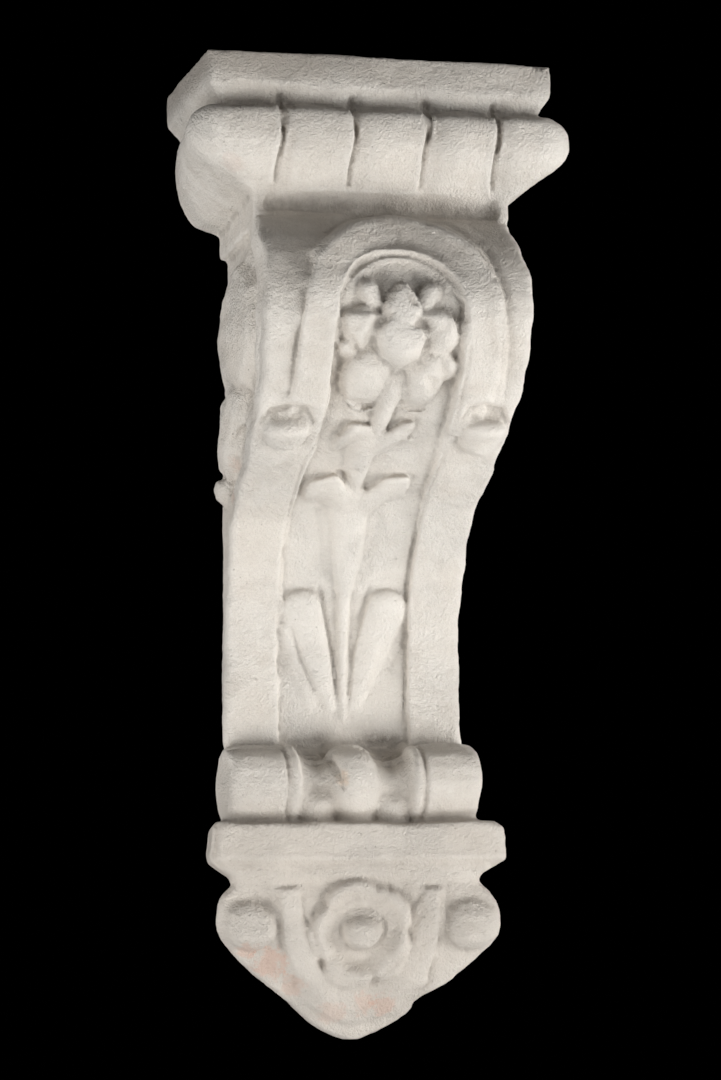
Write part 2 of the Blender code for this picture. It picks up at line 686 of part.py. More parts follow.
def combine(base, name, things, operation):
    """Joins things to the base, or cuts them from it, in one Boolean."""
    group = bpy.data.collections.new(name)
    bpy.context.scene.collection.children.link(group)
    for thing in things:
        bpy.context.scene.collection.objects.unlink(thing)
        group.objects.link(thing)
        thing.hide_render = True
        thing.display_type = "WIRE"
    modifier = base.modifiers.new(name, "BOOLEAN")
    modifier.solver = "EXACT"
    modifier.operation = operation
    modifier.operand_type = "COLLECTION"
    modifier.collection = group


bracket = body()
combine(bracket, "raised on the body", [arch_band()], "UNION")
combine(bracket, "sunk into the body", [panel_cutter(), side_cutter(-1), side_cutter(1)],
        "DIFFERENCE")
combine(bracket, "carving and mouldings",
        band_feet() + flower() + stem() + side_carving(-1) + side_carving(1)
        + [head(), roll(), tray(), pendant()] + pendant_carving(), "UNION")
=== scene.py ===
import math

import bpy
import numpy as np
from mathutils import Matrix, Vector


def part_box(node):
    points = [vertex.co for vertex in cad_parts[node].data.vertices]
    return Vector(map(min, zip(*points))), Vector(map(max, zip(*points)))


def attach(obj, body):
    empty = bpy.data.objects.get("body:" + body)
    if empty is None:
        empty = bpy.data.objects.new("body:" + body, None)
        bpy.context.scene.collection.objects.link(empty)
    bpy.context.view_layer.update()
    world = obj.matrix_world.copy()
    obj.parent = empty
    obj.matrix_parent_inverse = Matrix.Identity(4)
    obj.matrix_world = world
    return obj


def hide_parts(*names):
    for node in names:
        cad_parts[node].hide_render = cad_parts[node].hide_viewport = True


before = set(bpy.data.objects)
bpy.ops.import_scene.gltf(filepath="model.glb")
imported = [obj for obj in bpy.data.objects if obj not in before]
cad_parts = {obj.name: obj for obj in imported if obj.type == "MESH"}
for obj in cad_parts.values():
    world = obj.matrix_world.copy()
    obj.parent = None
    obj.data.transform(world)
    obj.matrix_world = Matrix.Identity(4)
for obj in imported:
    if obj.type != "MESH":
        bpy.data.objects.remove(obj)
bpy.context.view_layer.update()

# The floor. A plain pale studio floor well below the bracket, which hangs where a wall
# would hold it. It isn't part of the object.
bpy.ops.object.select_all(action="DESELECT")
bpy.ops.mesh.primitive_plane_add(size=5, location=(0, 0, -2.4))
floor = bpy.context.object
floor.name = "studio_floor"
floor_paint = bpy.data.materials.new("pale floor")
floor_paint.use_nodes = True
floor_shader = floor_paint.node_tree.nodes["Principled BSDF"]
floor_shader.inputs["Base Color"].default_value = (0.62, 0.61, 0.59, 1)
floor_shader.inputs["Roughness"].default_value = 0.9
floor.data.materials.append(floor_paint)

# The cast. One solid piece of gypsum plaster, modelled by hand and cast with its flat back
# against a board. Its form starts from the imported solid, gets an even fine skin, and is then
# worked over with the strokes of a modelling tool, given in millimetres.
CAST_SKIN = 0.001
CAST_TRIANGLES = 192000
FLAT_BACK = 0.004
HOLLOW_FULL = 0.0012

bpy.ops.object.select_all(action="DESELECT")
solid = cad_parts["console_bracket"]
cast = solid.copy()
cast.data = solid.data.copy()
cast.name = "plaster_cast"
for key in list(cast.keys()):
    del cast[key]
bpy.context.scene.collection.objects.link(cast)
bpy.context.view_layer.objects.active = cast
cast.select_set(True)
bpy.ops.object.mode_set(mode="EDIT")
bpy.ops.mesh.select_all(action="SELECT")
bpy.ops.mesh.remove_doubles(threshold=0.00001)
bpy.ops.mesh.normals_make_consistent(inside=False)
bpy.ops.object.mode_set(mode="OBJECT")


def finish_cast(kind, **settings):
    """Adds one modifier to the cast and applies it."""
    modifier = cast.modifiers.new(kind.title(), kind)
    for key, value in settings.items():
        setattr(modifier, key, value)
    bpy.ops.object.modifier_apply(modifier=modifier.name)


def skin_cast(smoothings):
    """An even skin over all of the cast, eased a few times."""
    finish_cast("REMESH", mode="VOXEL", voxel_size=CAST_SKIN, use_smooth_shade=True)
    finish_cast("SMOOTH", factor=0.5, iterations=smoothings)


def roughen_cast(name, size, strength):
    """Unevenness of one size, in metres, in and out of the skin."""
    cloud = bpy.data.textures.new(name, "CLOUDS")
    cloud.noise_scale = size
    cloud.noise_depth = 1
    finish_cast("DISPLACE", texture=cloud, texture_coords="LOCAL", strength=strength, mid_level=0.5)


def cast_points(kind):
    """The place or the normal of each point of the cast."""
    flat = np.empty(len(cast.data.vertices) * 3, np.float32)
    cast.data.vertices.foreach_get(kind, flat)
    return flat.reshape(-1, 3).astype(float)


def move_cast(points):
    cast.data.vertices.foreach_set("co", points.ravel().astype(np.float32))
    cast.data.update()


# Two pellets of plaster fill the gaps between the roll's spools and the tray
pellets = []
for pellet_x in (-0.020, 0.0208):
    bpy.ops.mesh.primitive_uv_sphere_add(
        segments=32, ring_count=16, location=(pellet_x, -0.0205, -0.1295),
        scale=(0.0168, 0.0165, 0.0135))
    pellets.append(bpy.context.object)
for pellet in pellets:
    pellet.select_set(True)
cast.select_set(True)
bpy.context.view_layer.objects.active = cast
bpy.ops.object.join()
skin_cast(4)

# The unevenness of hand work: broad swells, then the marks of fingers and tools
roughen_cast("broad swell", 0.045, 0.0020)
roughen_cast("finger marks", 0.014, 0.0008)
roughen_cast("tool marks", 0.0050, 0.0004)
place = cast_points("co")
facing = cast_points("normal")

# Straight lines waver, as the hand that drew them did, but not at the wall or the slab's top
wide, tall = place[:, 0] * 1000, place[:, 2] * 1000
sway = (0.55 * np.sin(tall / 7.5 + wide / 21) + 0.4 * np.sin(tall / 3.1 + wide / 9 + 1)) / 1000
heave = (0.5 * np.sin(wide / 11 + tall / 37) + 0.25 * np.sin(wide / 4.3 + tall / 15 + 2)) / 1000
from_wall = np.clip(-place[:, 1] / 0.03, 0, 1)
place[:, 0] += sway * from_wall
place[:, 2] += heave * from_wall * np.clip((251 - tall) / 6, 0, 1)


def trace(across, up, path, edge):
    """How far each of some points is lifted by a path of (across, up, half width, lift). Its
    edge may be soft, round like half a rod, or sharp like a ridge."""
    best = np.full(len(across), 1e9)
    lift = np.zeros(len(across))
    point = np.stack([across, up], 1)
    knots = np.array(path, float)
    for start, end in zip(knots, knots[1:]):
        run = end[:2] - start[:2]
        t = np.clip(((point - start[:2]) @ run) / max(run @ run, 1e-9), 0, 1)
        half = start[2] + (end[2] - start[2]) * t
        distance = np.hypot(*(point - start[:2] - t[:, None] * run).T)
        closer = distance / half < best
        best[closer] = (distance / half)[closer]
        lift[closer] = (start[3] + (end[3] - start[3]) * t)[closer]
    if edge == "soft":
        return lift * np.exp(-best ** 2)
    if edge == "round":
        return lift * np.sqrt(np.clip(1 - best ** 2, 0, 1))
    return lift * np.clip(1 - best, 0, 1)


# The panel's own relief: how far out its floor lies at each height, and what stands on it as
# paths on the front, in millimetres. They are the five petals, four small sepals between them,
# the boss, the stem's top, two pairs of cup leaves with the stem through them, and the two
# tongue leaves with a fold beside the left one.
NICHE_UP = 110.6
NICHE_RADIUS = 33.5
FLOOR_UP = (-100, -60, -50, -40, -30, -20, -8, 2, 12, 23, 34, 44, 54, 63.5, 73, 83, 92, 102, 111,
            120, 130, 140)
FLOOR_OUT = (10.4, 9.8, 10.2, 11.1, 12.8, 15.5, 19.4, 24.9, 31.7, 39.6, 52.4, 71.8, 88.9, 102.8,
             112.7, 120.6, 126.9, 132, 135.2, 135.9, 133.8, 129)
PANEL_RELIEF = (
    ((-14, 104, 10, 7), (-19, 105.5, 11, 10), (-23.5, 107.5, 8, 8.5)),
    ((13, 102, 10, 7), (18, 104, 11.6, 10), (20.5, 103, 11.4, 9.5)),
    ((-12, 86, 11.5, 9), (-15, 82.5, 13, 10.8)),
    ((10, 86, 11, 8.5), (13.5, 83, 12.8, 10.5)),
    ((0, 104, 12, 10), (0.3, 112, 11, 12), (0.6, 119, 7.6, 11.5), (0.8, 125, 3.8, 9)),
    ((-14.5, 118, 4.8, 5), (-17, 124.5, 5.8, 7.4)),
    ((12.5, 118, 4.8, 5), (15.8, 124, 5.6, 7.4)),
    ((23, 92, 4.8, 5), (27, 87, 5.4, 6.6)),
    ((-24, 93, 3.6, 4.5), (-28, 95.5, 3.8, 5.4)),
    ((-0.6, 98.6, 14, 16.5), (-0.4, 97.6, 14, 16.5)),
    ((-1, 84, 7.8, 5), (-1.1, 76, 7.2, 7), (-1.8, 67, 4.8, 6.5), (-3.5, 58, 5, 5.5)),
    ((-3, 51, 4, 4.5), (-10, 56.5, 4.8, 6.5), (-16.2, 57, 5, 7.4), (-20.4, 53.5, 3.4, 6)),
    ((-2, 51, 4, 4.5), (5, 55, 4.4, 6.5), (10.2, 58.5, 4.4, 7), (13.4, 60.2, 3, 6)),
    ((-8, 52.5, 8.6, 5.5), (-6.8, 45, 6.6, 5.6), (-5, 38, 4.6, 5.6), (-3.6, 32, 3.4, 5)),
    ((-26, 33, 5, 7), (-18, 34.2, 5.8, 8), (-9, 29, 5.8, 7)),
    ((20, 35.4, 4.8, 7), (12, 34, 5.6, 7.6), (3, 27, 6, 7)),
    ((-4.4, 26, 10.5, 6), (-2.4, 18, 9.6, 6), (-0.3, 2, 8.4, 5.6), (-0.6, -18, 4.2, 5),
     (0, -45, 3.2, 4), (0.2, -70, 2.4, 2.6), (0.5, -83, 1.6, 1)),
    ((-22.8, -26.6, 11.6, 6.4), (-18.2, -41, 10.2, 5.6), (-12.5, -58, 7.2, 4.4),
     (-7, -76, 3.4, 1.6)),
    ((-31.5, -37, 5, 4), (-25.5, -54, 5, 3.4), (-17, -74, 4, 1)),
    ((22.8, -26.4, 11.8, 6.4), (16.8, -40, 11, 5.4), (11.5, -58, 8, 4), (6.5, -76, 3.6, 1.4)))

# Each point of the panel moves to the relief's height over the sloping floor, which curves up
# into a vault under the niche's arch
wide, out, tall = place[:, 0] * 1000, -place[:, 1] * 1000, place[:, 2] * 1000
floor_out = np.interp(tall, FLOOR_UP, FLOOR_OUT)
slope = np.gradient(FLOOR_OUT, FLOOR_UP)
stretch = np.hypot(1, np.interp(tall, FLOOR_UP, slope))
edge_gap = np.where(tall > NICHE_UP, NICHE_RADIUS - np.hypot(wide, tall - NICHE_UP),
                    np.interp(tall, (40, 47), (35.8, NICHE_RADIUS)) - np.abs(wide))
share = np.clip((edge_gap - 1.2) / 1.2, 0, 1) * np.clip((tall + 93) / 4, 0, 1)
share[(out < floor_out - 3) | (facing[:, 1] > 0)] = 0
inside = np.nonzero(share > 0)[0]
vault = np.clip(1 - edge_gap[inside] / 13, 0, 1) ** 2 * np.clip((tall[inside] - 108) / 14, 0, 1)
rise = 7 * vault
for path in PANEL_RELIEF:
    rise = np.maximum(rise, trace(wide[inside], tall[inside], path, "round"))
wanted = -(floor_out[inside] + rise * stretch[inside]) / 1000
place[inside, 1] += (wanted - place[inside, 1]) * share[inside]
move_cast(place)
skin_cast(2)
roughen_cast("grit", 0.0034, 0.0005)
place = cast_points("co")
facing = cast_points("normal")


def stroke(side, path, edge="soft", aside=0):
    """Raises or presses the skin along a path of (across, up, half width, lift) in millimetres.
    Across is X on the front and the distance out from the wall on a side."""
    if side == "front":
        seen = np.clip((-facing[:, 1] - 0.05) / 0.3, 0, 1)
        seen[place[:, 1] > -0.01] = 0
        across = place[:, 0] * 1000
    else:
        sign = -1 if side == "left" else 1
        seen = np.clip((sign * facing[:, 0] - 0.3) / 0.3, 0, 1)
        across = -place[:, 1] * 1000
    up = place[:, 2] * 1000
    knots = np.array(path, float)
    knots[:, 0] += aside
    margin = 3 * knots[:, 2].max()
    near = np.nonzero((seen > 0) & (across > knots[:, 0].min() - margin)
                      & (across < knots[:, 0].max() + margin)
                      & (up > knots[:, 1].min() - margin) & (up < knots[:, 1].max() + margin))[0]
    shape = trace(across[near], up[near], knots, edge)
    place[near] += facing[near] * (shape * seen[near] / 1000)[:, None]


def groove(path, rim):
    """A cut down the front with a fine raised rim on its left."""
    stroke("front", path, "sharp")
    stroke("front", [(x - 2.4, z, 1.5, rim) for x, z, half, lift in path])


# Abacus: a wavering lip over the bevel, worn top corners and shallow dents in its face
stroke("front", ((-90, 237, 2.4, -0.2), (-74, 234, 2.6, -0.9), (-52, 236, 2.2, 0.5),
                 (-30, 234, 2.6, -0.6), (-6, 235.5, 2.2, 0.5), (24, 234, 2.4, -0.5),
                 (52, 235.5, 2.2, 0.4), (88, 234.5, 2.4, -0.6)))
stroke("front", ((-88, 228.6, 2.6, 0.9), (84, 228.6, 2.6, 0.9)))
stroke("front", ((86, 252, 5, -1.6), (92, 247, 5, -1.6)))
stroke("front", ((-92, 252, 4, -1.2), (-90, 246, 4, -0.6)))
for x, z, half, lift in ((-58, 243, 9, -0.5), (-20, 246, 8, 0.4), (12, 242, 10, -0.5),
                         (44, 245, 8, 0.4), (70, 241, 7, -0.5), (-78, 247, 6, 0.4)):
    stroke("front", ((x - half, z, half / 2, lift), (x + half, z - 1, half / 2, lift)))

# Grooves between the torus cushions, narrow and wavering, with a flared notch at the top and
# a cushion that slopes down into each groove from its right
for top, bottom in ((-53.2, -56.5), (-15.4, -18.0), (24.3, 19.3), (61.1, 57.9)):
    path = []
    for step in range(12):
        t = step / 11
        x = top + (bottom - top) * t + 0.9 * math.sin(9 * t + top) * (1 - t * 0.3)
        path.append((x, 228.5 - 44 * t, 3.6 - 2.2 * min(t * 5, 1) + 0.8 * max(t - 0.85, 0) * 6,
                     -2.6 + 0.8 * t))
    groove(path, 0.45)
    stroke("front", [(x + 4.2, z, 3.4, -1.1) for x, z, half, lift in path])

# Cushions swell between the grooves and turn in under the abacus
for middle in (-35, 4, 41.5):
    stroke("front", ((middle, 214, 12, 0.9), (middle - 2, 192, 12, 0.9)))
stroke("front", ((-84, 223.5, 2.6, -1.0), (-60, 223.5, 2.6, -1.0)))
stroke("front", ((-48, 223.5, 2.6, -1.0), (56, 223.5, 2.6, -1.0)))
stroke("front", ((66, 223.5, 2.6, -0.8), (84, 223.5, 2.6, -0.8)))

# The line where the torus meets the cove, and a thin crease under the cove
stroke("front", ((-62, 182, 1.6, -0.5), (-20, 184.5, 1.6, -0.6), (20, 184, 1.6, -0.6),
                 (60, 182.5, 1.6, -0.5)))
stroke("front", ((-60, 173.5, 4.5, -1.4), (0, 174, 5, -1.8), (58, 173.5, 4.5, -1.4)))
stroke("front", ((-66, 168, 1.7, 0.9), (-44, 169.6, 1.6, 1.0), (-22, 168.6, 1.7, 0.7),
                 (4, 169.8, 1.6, 0.9), (30, 168.4, 1.8, 0.5), (62, 168, 1.6, 0.7)))

# The sharp cut along the left outer edge of the arch band, a thin ridge along its right one
stroke("front", ((-53.8, 73, 2.0, -0.8), (-54.1, 90, 2.2, -2.0), (-53.1, 105, 2.2, -2.1),
                 (-51.3, 121, 2.2, -1.8), (-45, 140, 2.2, -1.4), (-33, 152.7, 2.0, -0.9),
                 (-20, 161.4, 2.0, -0.6)), "sharp")
stroke("front", ((8, 168.7, 1.4, 0.5), (20, 166.4, 1.4, 0.7), (31, 161.7, 1.4, 0.8),
                 (40.6, 152.5, 1.4, 0.8), (46, 143, 1.3, 0.9), (49.8, 132.5, 1.3, 0.9),
                 (52, 122, 1.3, 0.9), (55.5, 93, 1.3, 0.8), (56.3, 76, 1.3, 0.6)))
stroke("front", ((20, 170, 1.6, -0.5), (34, 164, 1.8, -0.8), (49, 147, 1.8, -0.9),
                 (55.2, 123, 1.8, -1.0), (58.6, 93, 1.8, -0.9), (59.4, 76, 1.6, -0.6)))
stroke("front", ((-44, 82, 7, -0.6), (-43, 118, 7, -0.6), (-30, 141, 7, -0.5)))
stroke("front", ((45, 84, 7, -0.6), (43, 118, 7, -0.6), (30, 143, 7, -0.5)))

# The band's upper part swells, sinks a little toward the niche and is cut in above
stroke("front", ((-42, 142, 4.5, 1.6), (-22, 157.5, 4.5, 2.8), (0, 163.5, 4.5, 3.4),
                 (20, 161, 4.5, 2.8), (40, 148, 4.5, 1.6)))
stroke("front", ((-30, 135, 4.5, -1.0), (-14, 148, 4.5, -1.6), (2, 152, 4.5, -2.0),
                 (17, 148, 4.5, -1.6), (31, 136, 4.5, -1.0)))
stroke("front", ((-34, 157, 2.0, -1.2), (-18, 168, 2.0, -1.4), (6, 173.5, 2.0, -1.0)))

# The niche's edge is rounded above, and cut sharply under the right shoulder
stroke("front", ((-36, 114, 5, -0.5), (-30, 131, 5, -0.7), (-18, 144, 5, -0.7),
                 (1.5, 150, 5, -0.7), (16, 146, 5, -0.5), (28, 135, 5, -0.3)))
stroke("front", ((26, 126, 1.6, -1.6), (30.5, 118, 2.0, -2.6), (33, 109, 1.6, -1.2)), "sharp")

# Panel edges, worn and not quite straight
stroke("front", ((-32.6, 108, 1.8, -1.0), (-33.3, 74, 1.8, -1.3), (-33, 52.6, 1.8, -1.0),
                 (-37, 44.6, 1.8, -1.3), (-36.3, 19.9, 1.8, -1.3), (-36, -12.6, 1.8, -1.0),
                 (-36, -50.5, 1.8, -1.0), (-35.1, -89, 1.6, -0.6)), "sharp")
stroke("front", ((36, 96, 1.8, -1.0), (35.4, 70.6, 1.8, -1.3), (34.6, 54, 1.8, -1.3),
                 (35.9, 44, 1.8, -1.5), (34.9, 16.4, 1.8, -1.5), (33.8, -14.3, 1.8, -1.2),
                 (34.4, -63, 1.8, -1.2), (32.6, -89, 1.6, -0.6)), "sharp")

# Rolled feet: a hollowed top under a creased arc with a faint rim, and a full lower edge
for x, z in ((-52.4, 66.5), (50.6, 69)):
    stroke("front", ((x - 6, z - 4, 4.2, -2.4), (x + 6, z - 4, 4.2, -2.4)))
    stroke("front", ((x - 13, z - 7, 1.8, -1.2), (x - 9, z - 0.5, 2.0, -1.6), (x, z + 1, 2.0, -1.8),
                     (x + 9, z, 2.0, -1.6), (x + 13, z - 6, 1.8, -1.2)), "sharp")
    stroke("front", ((x - 10, z + 3, 2.4, 0.5), (x, z + 4.6, 2.4, 0.6),
                     (x + 10, z + 3.4, 2.4, 0.5)))
    stroke("front", ((x - 6, z - 11.5, 4.6, 2.6), (x + 6, z - 11.5, 4.6, 2.6)))
    stroke("front", ((x - 11, z - 15, 2.0, -0.8), (x, z - 18, 2.0, -1.1),
                     (x + 11, z - 15, 2.0, -0.8)))

# Flower: a dish in the right petal, notches in the lower right and upper left ones, and a
# rough patch on the upper right of the boss and on the top petal's tip
stroke("front", ((14, 107, 4.5, -1.4), (18.5, 103, 5.5, -2.0), (20, 99, 5, -1.2)))
stroke("front", ((20, 78, 2.6, -2.0), (16, 80, 2.0, -1.4)))
stroke("front", ((9, 88, 3.5, -0.9), (14, 84, 3.5, -1.1)))
stroke("front", ((-26, 113, 2.4, -1.0), (-14, 113.5, 2.4, -1.6)))
stroke("front", ((-17, 100, 3, -0.9), (-12, 108, 3, -0.9)))
for x, z, half, lift in ((4, 107, 1.6, -1.3), (8, 103, 1.4, 0.9), (2, 102, 1.5, 0.8),
                         (6, 97, 1.4, -0.9), (3.5, 110, 1.4, 0.8), (9, 98, 1.3, 0.8),
                         (5, 118, 1.8, -1.8), (2, 121.5, 1.4, 0.9), (6, 114.5, 1.4, 0.8),
                         (5, 101, 1.3, -1.0), (1, 106, 1.3, -0.8), (7.5, 107, 1.3, -0.8)):
    stroke("front", ((x, z, half, lift), (x + 0.8, z - 1.2, half, lift)))

# The boss stands clear of the petals by a furrow above and below
stroke("front", ((-13, 106, 2.0, -1.0), (-7, 111, 2.0, -1.0), (0, 112.5, 2.0, -0.8),
                 (7, 111, 2.0, -1.0), (13, 105, 2.0, -1.0)))
stroke("front", ((1, 107, 3.4, -1.8), (6, 105, 3.4, -1.8)))
stroke("front", ((-14.5, 98, 2.2, -1.2), (-11, 89, 2.2, -1.4), (0, 84, 2.2, -1.2),
                 (11, 88.5, 2.2, -1.4), (14.5, 98, 2.2, -1.2)))

# Small cracks between the petals
for path in (((27.5, 112, 1.6, -1.6), (30.5, 104, 1.6, -1.4)),
             ((-26, 100, 1.4, -1.2), (-22, 95.5, 1.4, -1.2)),
             ((-20, 71, 1.4, -1.0), (-9, 69.5, 1.4, -1.2)),
             ((3.5, 84, 1.4, -1.0), (8, 73, 1.4, -1.0)),
             ((-16, 41.5, 1.4, -1.2), (-8, 40.5, 1.4, -1.4))):
    stroke("front", path, "sharp")

# A small side shoot under the lower left petal and the long hollows beside the lower cup
stroke("front", ((-24, 72, 3.0, 1.6), (-16, 66, 2.8, 1.8), (-10, 64, 2.4, 1.2)))
stroke("front", ((-20, 24, 2.6, -1.0), (-16.5, 12, 2.4, -1.0), (-12, -6, 2.2, -0.7)))
stroke("front", ((14, 18, 3.2, -0.8), (12, 4, 3.4, -1.0), (9, -10, 3, -0.8)))

# Tongue leaves with round heads: a crease down each, and a deep line beside the stem
for sign, x, z in ((-1, -24.6, -26), (1, 24.6, -25.5)):
    stroke("front", ((x - 5, z + 5, 5, 0.8), (x + 5, z + 5, 5, 0.8)))
    stroke("front", ((sign * 13.5, -14, 2.2, -1.2), (sign * 9.5, -30, 1.8, -1.8),
                     (sign * 5.4, -48, 1.6, -1.6), (sign * 3.2, -70, 1.6, -0.9)), "sharp")
    stroke("front", ((sign * 35, -38, 2.0, -0.9), (sign * 30, -50, 2.6, -1.2),
                     (sign * 22, -64, 2.6, -1.0)))
stroke("front", ((-28.6, -35, 1.6, -0.8), (-24, -50, 1.9, -1.7), (-15.8, -68, 1.6, -0.9)), "sharp")
stroke("front", ((25, -38, 1.8, -0.4), (21, -50, 2.2, -1.0), (13, -66, 1.6, -0.6)))

# Roll: a hollow over each spool, raised collars and a crease beside the middle lobe
for x in (-20, 21):
    stroke("front", ((x - 4, -98, 6.5, -2.8), (x + 4, -98, 6.5, -2.8)))
    stroke("front", ((x, -106, 6.5, -2.8), (x, -122, 6, -1.6)))
stroke("front", ((-12.5, -102, 2.4, -1.8), (-10.5, -112, 2.4, -2.6), (-8, -121, 2.0, -1.6)),
       "sharp")
stroke("front", ((-66, -99, 3.5, -1.6), (-40, -99, 3.5, -1.6)))
stroke("front", ((40, -99, 3.5, -1.4), (66, -99, 3.5, -1.4)))
stroke("front", ((-10, -99, 3.5, -1.4), (10, -99, 3.5, -1.4)))
for x in (-33.5, 32.5):
    stroke("front", ((x, -98, 2.4, 1.2), (x + 1, -116, 2.4, 1.4), (x, -134, 2.4, 1.0)))
stroke("front", ((-37.5, -100, 1.6, -1.4), (-37, -116, 1.6, -1.6), (-37.5, -134, 1.6, -1.2)),
       "sharp")
stroke("front", ((37, -100, 1.6, -1.2), (36.6, -116, 1.6, -1.4), (37, -134, 1.6, -1.2)), "sharp")

# Tray: a wavering upper edge, a crisp lower one, and a facet at its left end
stroke("front", ((-76, -138, 2.6, -0.6), (-52, -140, 2.6, 0.6), (-26, -138.5, 2.6, -0.6),
                 (2, -140, 2.6, 0.6), (30, -138.5, 2.6, -0.6), (58, -140, 2.6, 0.5),
                 (77, -138.5, 2.6, -0.5)))
stroke("front", ((-77, -157, 1.8, 0.7), (0, -157.5, 1.8, 0.8), (77, -157, 1.8, 0.7)))
stroke("front", ((-76, -161.5, 2.2, -0.9), (0, -162, 2.2, -0.9), (76, -161.5, 2.2, -0.9)))
stroke("front", ((-79, -140, 3.4, -2.4), (-79, -156, 3.4, -2.4)))

# Pendant: a broad flat lyre band with raised ends under the tray
for aside in (-5.5, 5.5):
    stroke("front", ((-36.5, -176, 4, 1.1), (-36, -196, 4, 1.2), (-31, -209, 4.4, 1.2),
                     (-24, -218, 4.8, 1.0), (-10, -228, 5, 0.6)), "soft", aside)
    stroke("front", ((36.5, -176, 4, 1.1), (36, -196, 4, 1.2), (33, -209, 4.4, 1.2),
                     (27, -218, 4.8, 1.0), (12, -228, 5, 0.6)), "soft", aside)
for x in (-37.5, 37.5):
    stroke("front", ((x - 6, -171.5, 4.4, 0.6), (x + 6, -171.5, 4.4, 0.6)))

# Bosses flattened on top, a dished rosette with a squarish button and notches in its ring,
# and the cuts along both edges of the lyre band
for x, z in ((-57.5, -190.1), (60.1, -192.3)):
    stroke("front", ((x - 2, z, 7, -1.2), (x + 2, z, 7, -1.2)))
    stroke("front", ((x - 7, z + 9, 4.5, -1.3), (x + 7, z + 9, 4.5, -1.3)))
    stroke("front", ((x - 6, z - 7, 4, 1.2), (x + 6, z - 7, 4, 1.2)))
stroke("front", ((-8.6, -189, 2.6, 1.2), (-7, -199, 2.6, 1.4), (4, -203, 2.6, 1.2),
                 (11, -196, 2.6, 1.2), (8, -186, 2.6, 1.0), (-5, -185, 2.6, 1.0)))
stroke("front", ((-3, -193, 3.5, 0.8), (5, -196, 3.5, 0.8)))
for radius, half, lift, edge in ((27.4, 2.2, -0.6, "sharp"), (22.5, 4.4, 0.9, "soft"),
                                 (16.2, 3.8, -0.9, "soft"), (11.6, 2.0, -1.1, "sharp")):
    ring = []
    for turn in range(31):
        angle = 2 * math.pi * turn / 30
        wobble = radius * (1 + 0.03 * math.sin(3 * angle + 1))
        ring.append((1.6 + wobble * math.cos(angle), -194.6 + wobble * math.sin(angle),
                     half, lift))
    stroke("front", ring, edge)
for start, end in (((25.4, -194.8), (19, -194.5)), ((16, -172.8), (12.5, -178.5)),
                   ((-18.9, -180.2), (-14, -184)), ((-19, -212.1), (-13, -207)),
                   ((9, -221), (7, -214))):
    stroke("front", (start + (2.2, -1.1), end + (1.6, -0.6)))
stroke("front", ((-3, -212, 4.5, -1.6), (8, -213, 4.5, -1.6)))
stroke("front", ((-5, -219, 3.2, 1.2), (9, -220, 3.2, 1.2)))
stroke("front", ((-43.5, -176, 2.2, -0.9), (-42.3, -201, 2.2, -1.7), (-38.9, -208, 2.2, -1.6),
                 (-34.1, -217, 2.2, -1.2), (-32.6, -223.4, 2.0, -0.8)), "sharp")
stroke("front", ((43.8, -178, 2.2, -0.9), (43.3, -203, 2.2, -1.7), (41.9, -209, 2.2, -1.6),
                 (40, -218, 2.2, -1.2), (37.6, -226.7, 2.0, -0.8)), "sharp")
stroke("front", ((-30.4, -178, 2.0, -0.8), (-29.3, -187, 2.0, -1.2), (-25.1, -196, 2.0, -1.2),
                 (-19.2, -211, 2.0, -0.8)), "sharp")
stroke("front", ((37.1, -171, 2.0, -0.8), (28.5, -183, 2.2, -1.2), (27, -200, 2.0, -1.0),
                 (20, -213, 2.0, -0.7)), "sharp")

# Sides: the dome comes to a point above, the leaf strip under it widens toward the wall, and
# a narrow rim follows the curved front edge
for side in ("left", "right"):
    stroke(side, ((67, 152, 6, 1.4), (60, 140, 9, 0.8)))
    stroke(side, ((0, 92, 6, 2.4), (14, 85, 6, 3.4), (26, 80, 5, 2.0)))
    stroke(side, ((34, 92, 2.4, -1.6), (64, 82, 2.4, -1.6)))
    stroke(side, ((-2, 47, 2.0, -2.0), (22, 43, 2.0, -1.6)))
    stroke(side, ((108, 165, 2.0, -0.8), (125, 140, 2.0, -0.8), (128, 112, 2.0, -0.8),
                  (112, 84, 2.0, -0.8), (82, 62, 2.0, -0.8), (48, 40, 2.0, -0.6)))
    stroke(side, ((-4, 118, 8, -1.6), (10, 118, 8, -1.2)))

# A broken step in the pendant's lower right edge
tall = place[:, 2] * 1000
edge_share = np.clip((place[:, 0] * 1000 - 20) / 15, 0, 1)
place[:, 0] -= 0.0030 * np.exp(-((tall + 231) / 4.5) ** 2) * edge_share
place[:, 0] += 0.0014 * np.exp(-((tall + 222) / 3.5) ** 2) * edge_share

# Nothing stands outside the solid's own box, and the back stays flat
low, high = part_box("console_bracket")
back = (facing[:, 1] > 0.8) & (place[:, 1] > -FLAT_BACK)
place[back, 1] *= 0.3
move_cast(np.clip(place, np.array(low), np.array(high)))
finish_cast("DECIMATE", ratio=CAST_TRIANGLES / (2 * len(cast.data.polygons)))
move_cast(np.clip(cast_points("co"), np.array(low), np.array(high)))
bpy.ops.object.shade_smooth()


def hollows(broad):
    """How far each point lies in from its surroundings, eased out a number of times."""
    points = cast_points("co")
    normals = cast_points("normal")
    ends = np.empty(len(cast.data.edges) * 2, np.int32)
    cast.data.edges.foreach_get("vertices", ends)
    one, two = ends.reshape(-1, 2).T
    total = np.bincount(np.concatenate([one, two]), minlength=len(points))[:, None]
    blurred = points.copy()
    for _ in range(broad):
        drift = np.zeros_like(blurred)
        np.add.at(drift, one, blurred[two])
        np.add.at(drift, two, blurred[one])
        blurred = drift / total
    return ((blurred - points) * normals).sum(1)


